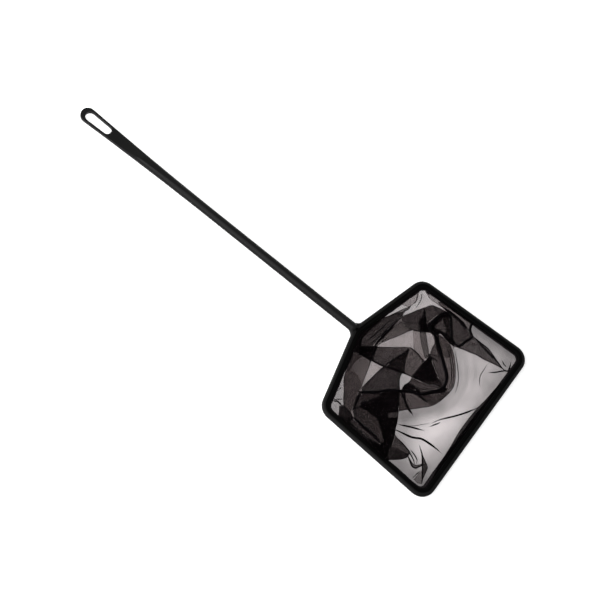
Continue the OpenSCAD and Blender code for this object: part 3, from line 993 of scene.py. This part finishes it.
class Sheet:
    """The bag's mesh as it is laid down: points, faces, attributes and weave directions."""

    def __init__(self):
        self.points, self.faces, self.crease, self.gather, self.weave = [], [], [], [], []
        self.single = []
        self.plies = 1

    def add(self, pixels, heights, faces, crease, gather, turn, flip):
        start = len(self.points)
        self.points += [from_pixel(x, y, z) for (x, y), z in zip(pixels, heights)]
        self.crease += list(crease)
        self.gather += list(gather)
        self.single += [0.0 if start else 1.0] * len(pixels)
        here = Matrix.Rotation(turn, 2)
        for face in faces:
            self.faces.append([start + i for i in face])
            for i in face:
                p = self.points[start + i]
                uv = here @ Vector((p.x, p.y)) / MM
                self.weave.append((-uv.x, uv.y) if flip else (uv.x, uv.y))


def filled(outline, seed):
    """Triangles inside an outline, with rows of points along its edge and a loose grid inside."""
    normal = round_normals(outline)
    inner = [outline + normal * EDGE_PX * way * k for way in (1, -1) for k in (1, 2)]
    low, high = outline.min(axis=0), outline.max(axis=0)
    xs = np.arange(low[0], high[0], POINT_PX)
    ys = np.arange(low[1], high[1], POINT_PX * 0.87)
    grid = np.array([(x + (POINT_PX / 2 if j % 2 else 0), y) for j, y in enumerate(ys) for x in xs])
    if len(grid):
        wobble = np.random.default_rng(seed).uniform(-0.25, 0.25, grid.shape) * POINT_PX
        inner.append(grid + wobble)
    rows = []
    for k, candidates in enumerate(inner):
        away = distance_to(candidates, outline, True)
        clear = away > EDGE_PX * ROW_CLEARANCES[k]
        rows.append(candidates[closed_inside(candidates, outline) & clear])
    inside = np.concatenate(rows)
    if len(inside):
        order = np.lexsort((inside[:, 1], inside[:, 0]))
        inside = inside[order]
        keep = []
        for p in inside:
            if all(abs(p[0] - q[0]) + abs(p[1] - q[1]) > EDGE_PX * 0.7 for q in keep[-12:]):
                keep.append(p)
        inside = np.array(keep)
    every = [Vector(p) for p in outline] + [Vector(p) for p in inside]
    ring = list(range(len(outline)))
    points, _, faces, _, _, _ = geometry.delaunay_2d_cdt(every, [], [ring], 1, 1e-4)
    return np.array([tuple(p) for p in points]), faces


sheet = Sheet()
pile = base_height(GRID).reshape(PX_HIGH, PX_WIDE)
pixels, faces = filled(base_outline, 1)
flat = np.zeros(len(pixels))
sheet.add(pixels, base_height(pixels), faces, flat, bunching_and_shade(pixels), SHEET_TURN, False)


def drawn_in(outline, inset):
    """A closed outline moved inward by an inset."""
    after = np.roll(outline, -1, axis=0)
    way = np.sign(np.sum(outline[:, 0] * after[:, 1] - after[:, 0] * outline[:, 1]))
    return outline + round_normals(outline) * way * inset


def lay_fold(outline, gather, edge, crease_reach, seed):
    """Lays a closed fold, two plies joined round its outline, on top of the pile."""
    global pile
    outline = clipped(outline, mouth)
    if len(outline) < 3:
        return
    pixels, faces = filled(outline, seed)
    away = distance_to(pixels, outline, True)
    here = closed_inside(GRID, outline).reshape(PX_HIGH, PX_WIDE)
    near = here | np.any([n > 0 for n in neighbours(here.astype(float))], axis=0)
    rest = laid_over(pile, near)
    middle = at(rest, pixels) + PLY / 2
    depth = np.clip(away / SWELL_PX, 0, 1)
    swell = np.sqrt(np.clip(1 - (1 - depth) ** 2, 0, 1)) * PLY * SWELL_SHARE
    crease = np.clip(1 - away / crease_reach, 0, 1) * edge
    drawn = np.full(len(pixels), gather)
    turn = sheet.plies * PLY_TURN
    sheet.plies += 2
    sheet.add(pixels, middle + swell, faces, crease, drawn, turn, False)
    under = [f[::-1] for f in faces]
    sheet.add(pixels, middle - swell, under, crease, drawn, turn + PLY_TURN, True)
    pile = np.where(near, np.maximum(pile, rest + PLY), pile)


for order, (plies, gather, edge, line) in enumerate(FOLDS.values()):
    outline = thinned(flowing(line, True), FOLD_STEP_PX)
    for ply in range(plies):
        inner = drawn_in(outline, PLY_INSET_PX * ply)
        lay_fold(inner, gather, edge, FOLD_CREASE_PX, FOLD_SEED + order * 4 + ply)
for order, (width, line) in enumerate(PLEATS.values()):
    along = thinned(flowing(line, False), PLEAT_STEP_PX)
    lay_fold(widened(along, width), PLEAT_GATHER, 1, PLEAT_CREASE_PX, PLEAT_SEED + order)

bag = mesh_piece("net_sheet", sheet.points, sheet.faces, net_nylon)
for name, values in (("crease", sheet.crease), ("gather", sheet.gather), ("single", sheet.single)):
    layer = bag.data.attributes.new(name, "FLOAT", "POINT")
    layer.data.foreach_set("value", np.array(values, dtype=np.float32))
weave = bag.data.uv_layers.new(name="weave")
weave.data.foreach_set("uv", np.array(sheet.weave, dtype=np.float32).ravel())
print("net:", len(sheet.faces), "triangles, top", max(p.z for p in sheet.points) / MM, "mm")

# the hem
HEM_STEP = 1.1 * MM
# How much wider the tape shows where it sags at the far end: distance across, sag, both mm
HEM_SAG = [(-75, 0.3), (-62, 1.5), (-45, 1.6), (-25, 1.2), (0, 1.4), (30, 0.3), (75, 0)]
HEM_PROFILE = [
    (4.2, 3.12), (4.2, 3.4), (6.1, 3.42), (6.7, 3.4), (7.1, 3.3), (7.25, 3.1), (7.0, 3.0),
    (6.2, 3.02),
]
STITCH_ROW = 3
HEM_FIRM_TO, HEM_LOOSE_OVER = 5.9, 1.35
HEM_WANDERS, HEM_LIFTS = 0.35, 0.18
SAG_STARTS, SAG_OVER = 12 * MM, 6 * MM


def hem_band():
    """Binding tape folded over the net's edge: a flat band with a soft, uneven inner edge."""
    size = len(HEM_PROFILE)
    points = []
    stitch_highlights = []
    rings = [hoop_line(inset * MM) for inset, _ in HEM_PROFILE]
    count = len(rings[0])
    dense = []
    for i in range(count):
        a = [r[i] for r in rings]
        b = [r[(i + 1) % count] for r in rings]
        steps = max(1, math.ceil((b[0] - a[0]).length / HEM_STEP))
        for s in range(steps):
            dense.append([p.lerp(q, s / steps) for p, q in zip(a, b)])
    for j, row in enumerate(dense):
        wave = noise.noise(Vector((row[0].x * 160, row[0].y * 160, 1.0)))
        far = min(1, max(0, (row[0].x - APEX_X - HOOP_LEN + SAG_STARTS) / SAG_OVER))
        sag = far * np.interp(row[0].y / MM, *zip(*HEM_SAG))
        for k, p in enumerate(row):
            loose = max(0, HEM_PROFILE[k][0] - HEM_FIRM_TO) / HEM_LOOSE_OVER
            # Every other point of the stitch row is marked for the painted stitch highlight.
            stitch_highlights.append(1.0 if k == STITCH_ROW and j % 2 else 0.0)
            inward = (row[-2] - row[0]).normalized()
            shift = inward * (HEM_WANDERS * wave + sag) * MM * loose
            height = (HEM_PROFILE[k][1] + HEM_LIFTS * wave * loose) * MM
            points.append((p.x + shift.x, p.y + shift.y, height))
    faces = []
    for j in range(len(dense)):
        after = (j + 1) % len(dense)
        for k in range(size):
            up = (k + 1) % size
            faces.append((j * size + k, after * size + k, after * size + up, j * size + up))
    return points, faces, stitch_highlights


points, faces, stitch_highlights = hem_band()
hem = mesh_piece("hem_tape", points, faces, hem_tape)
layer = hem.data.attributes.new("stitch_highlight", "FLOAT", "POINT")
layer.data.foreach_set("value", np.array(stitch_highlights, dtype=np.float32))

# the seam
SEAM_WIDE = 1 * MM
SEAM_HIGH = 0.45 * MM
STITCH_EVERY = 3
SEAM_SIDES = 8
SEAM_STEP_PX = 0.55
STITCH_PROUD, STITCH_BETWEEN = 1.18, 0.92
SEAM_END = 0.45


def seam_cord():
    """The overlocked seam: a flat ridge of thread with a stitch lying across it at every turn."""
    line = thinned(flowing(SEAM, False, steps=8), SEAM_STEP_PX)
    heights = at(pile, line) + SEAM_HIGH * 0.8
    for _ in range(4):
        heights[1:-1] = (heights[:-2] + heights[1:-1] * 2 + heights[2:]) / 4
    centre = [from_pixel(x, y, z) for (x, y), z in zip(line, heights)]
    points, faces = [], []
    sides = SEAM_SIDES
    for i, here in enumerate(centre):
        run = (centre[min(i + 1, len(centre) - 1)] - centre[max(i - 1, 0)]).normalized()
        across = run.cross(UP).normalized()
        up = across.cross(run)
        rib = STITCH_BETWEEN if i % STITCH_EVERY else STITCH_PROUD
        end = SEAM_END if i in (0, len(centre) - 1) else 1
        for k in range(sides):
            a = 2 * math.pi * k / sides
            sideways = across * math.cos(a) * SEAM_WIDE
            upward = up * math.sin(a) * SEAM_HIGH
            points.append(here + (sideways + upward) * rib * end)
    for i in range(len(centre) - 1):
        for k in range(sides):
            up = (k + 1) % sides
            faces.append((i * sides + k, i * sides + up, (i + 1) * sides + up, (i + 1) * sides + k))
    faces.append(list(range(sides))[::-1])
    faces.append([(len(centre) - 1) * sides + k for k in range(sides)])
    return points, faces


points, faces = seam_cord()
seam = mesh_piece("seam_overlock", points, faces, seam_thread)

cloth_area = sum(p.area for p in bag.data.polygons)
print("cloth area", round(cloth_area, 5))
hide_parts("net_bag")
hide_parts("net_hem")
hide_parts("net_seam")

def background_rays(tree):
    """1 for the rays that show the background: camera, glossy and transmission rays."""
    sees = node(tree, "LightPath").outputs
    bounced = node(
        tree, "Math", {"operation": "ADD"},
        i0=sees["Is Glossy Ray"], i1=sees["Is Transmission Ray"],
    )
    return node(
        tree, "Math", {"operation": "ADD"}, i0=sees["Is Camera Ray"], i1=bounced.outputs[0],
    ).outputs[0]


# floor and light
FLOOR_WIDE = 8
FLOOR_BELOW = 0.02 * MM
FLOOR_LIFT = 0.7
deselect()
bpy.ops.mesh.primitive_plane_add(size=FLOOR_WIDE, location=(0, 0, -FLOOR_BELOW))
floor = bpy.context.object
floor.name = "floor"
floor_paint, tree, out = material("floor_white_sweep")
lift = node(tree, "Math", {"operation": "MULTIPLY"}, i0=background_rays(tree), i1=FLOOR_LIFT)
glow = node(tree, "Emission", Color=(1, 1, 1, 1), Strength=lift.outputs[0])
matt = node(tree, "BsdfDiffuse", Color=linear("#e6e6e6"))
both = node(tree, "AddShader", i0=matt.outputs[0], i1=glow.outputs[0])
tree.links.new(both.outputs[0], out.inputs["Surface"])
floor.data.materials.append(floor_paint)

world = bpy.data.worlds.new("studio")
bpy.context.scene.world = world
world.use_nodes = True
tree = world.node_tree
tree.nodes.clear()
way = node(tree, "SeparateXYZ", i0=node(tree, "TexCoord").outputs["Generated"])
wall = node(
    tree, "MapRange", {"interpolation_type": "SMOOTHSTEP"}, Value=way.outputs[2],
    From_Min=0.15, From_Max=0.5, To_Min=1.0, To_Max=0.0,
)
leftward = node(
    tree, "VectorMath", {"operation": "DOT_PRODUCT"},
    i0=node(tree, "TexCoord").outputs["Generated"], i1=(-0.8, -0.6, 0),
)
lit = node(
    tree, "MapRange", Value=leftward.outputs["Value"], From_Min=-1.0, From_Max=1.0,
    To_Min=0.2, To_Max=0.6,
)
around = node(tree, "Math", {"operation": "MULTIPLY"}, i0=wall.outputs[0], i1=lit.outputs[0])
strength = node(
    tree, "Math", {"operation": "MAXIMUM"}, i0=around.outputs[0], i1=background_rays(tree),
)
sky = node(tree, "Background", Color=(1, 1, 1, 1), Strength=strength.outputs[0])
node(tree, "OutputWorld", Surface=sky.outputs[0])


def softbox(name, spot, aim, wide, high, power):
    deselect()
    bpy.ops.object.light_add(type="AREA", location=spot)
    lamp = bpy.context.object
    lamp.name = name
    lamp.data.shape = "RECTANGLE"
    lamp.data.size = wide
    lamp.data.size_y = high
    lamp.data.energy = power
    lamp.rotation_euler = (Vector(aim) - Vector(spot)).to_track_quat("-Z", "Y").to_euler()


softbox("overhead_front", (-0.25, -0.85, 1.3), (0.05, 0, 0), 1.4, 1.2, 14)
softbox("strip_left", (-1.2, -0.3, 0.5), (0.05, 0, 0), 1.0, 0.7, 17)
softbox("strip_front", (-0.4, -1.4, 0.5), (0, 0, 0), 1.3, 0.5, 14)
softbox("strip_back_left", (-0.95, 0.9, 0.45), (0.05, 0, 0), 0.8, 0.5, 5)

bpy.context.scene.view_settings.view_transform = "Standard"
bpy.context.scene.cycles.transparent_max_bounces = 48
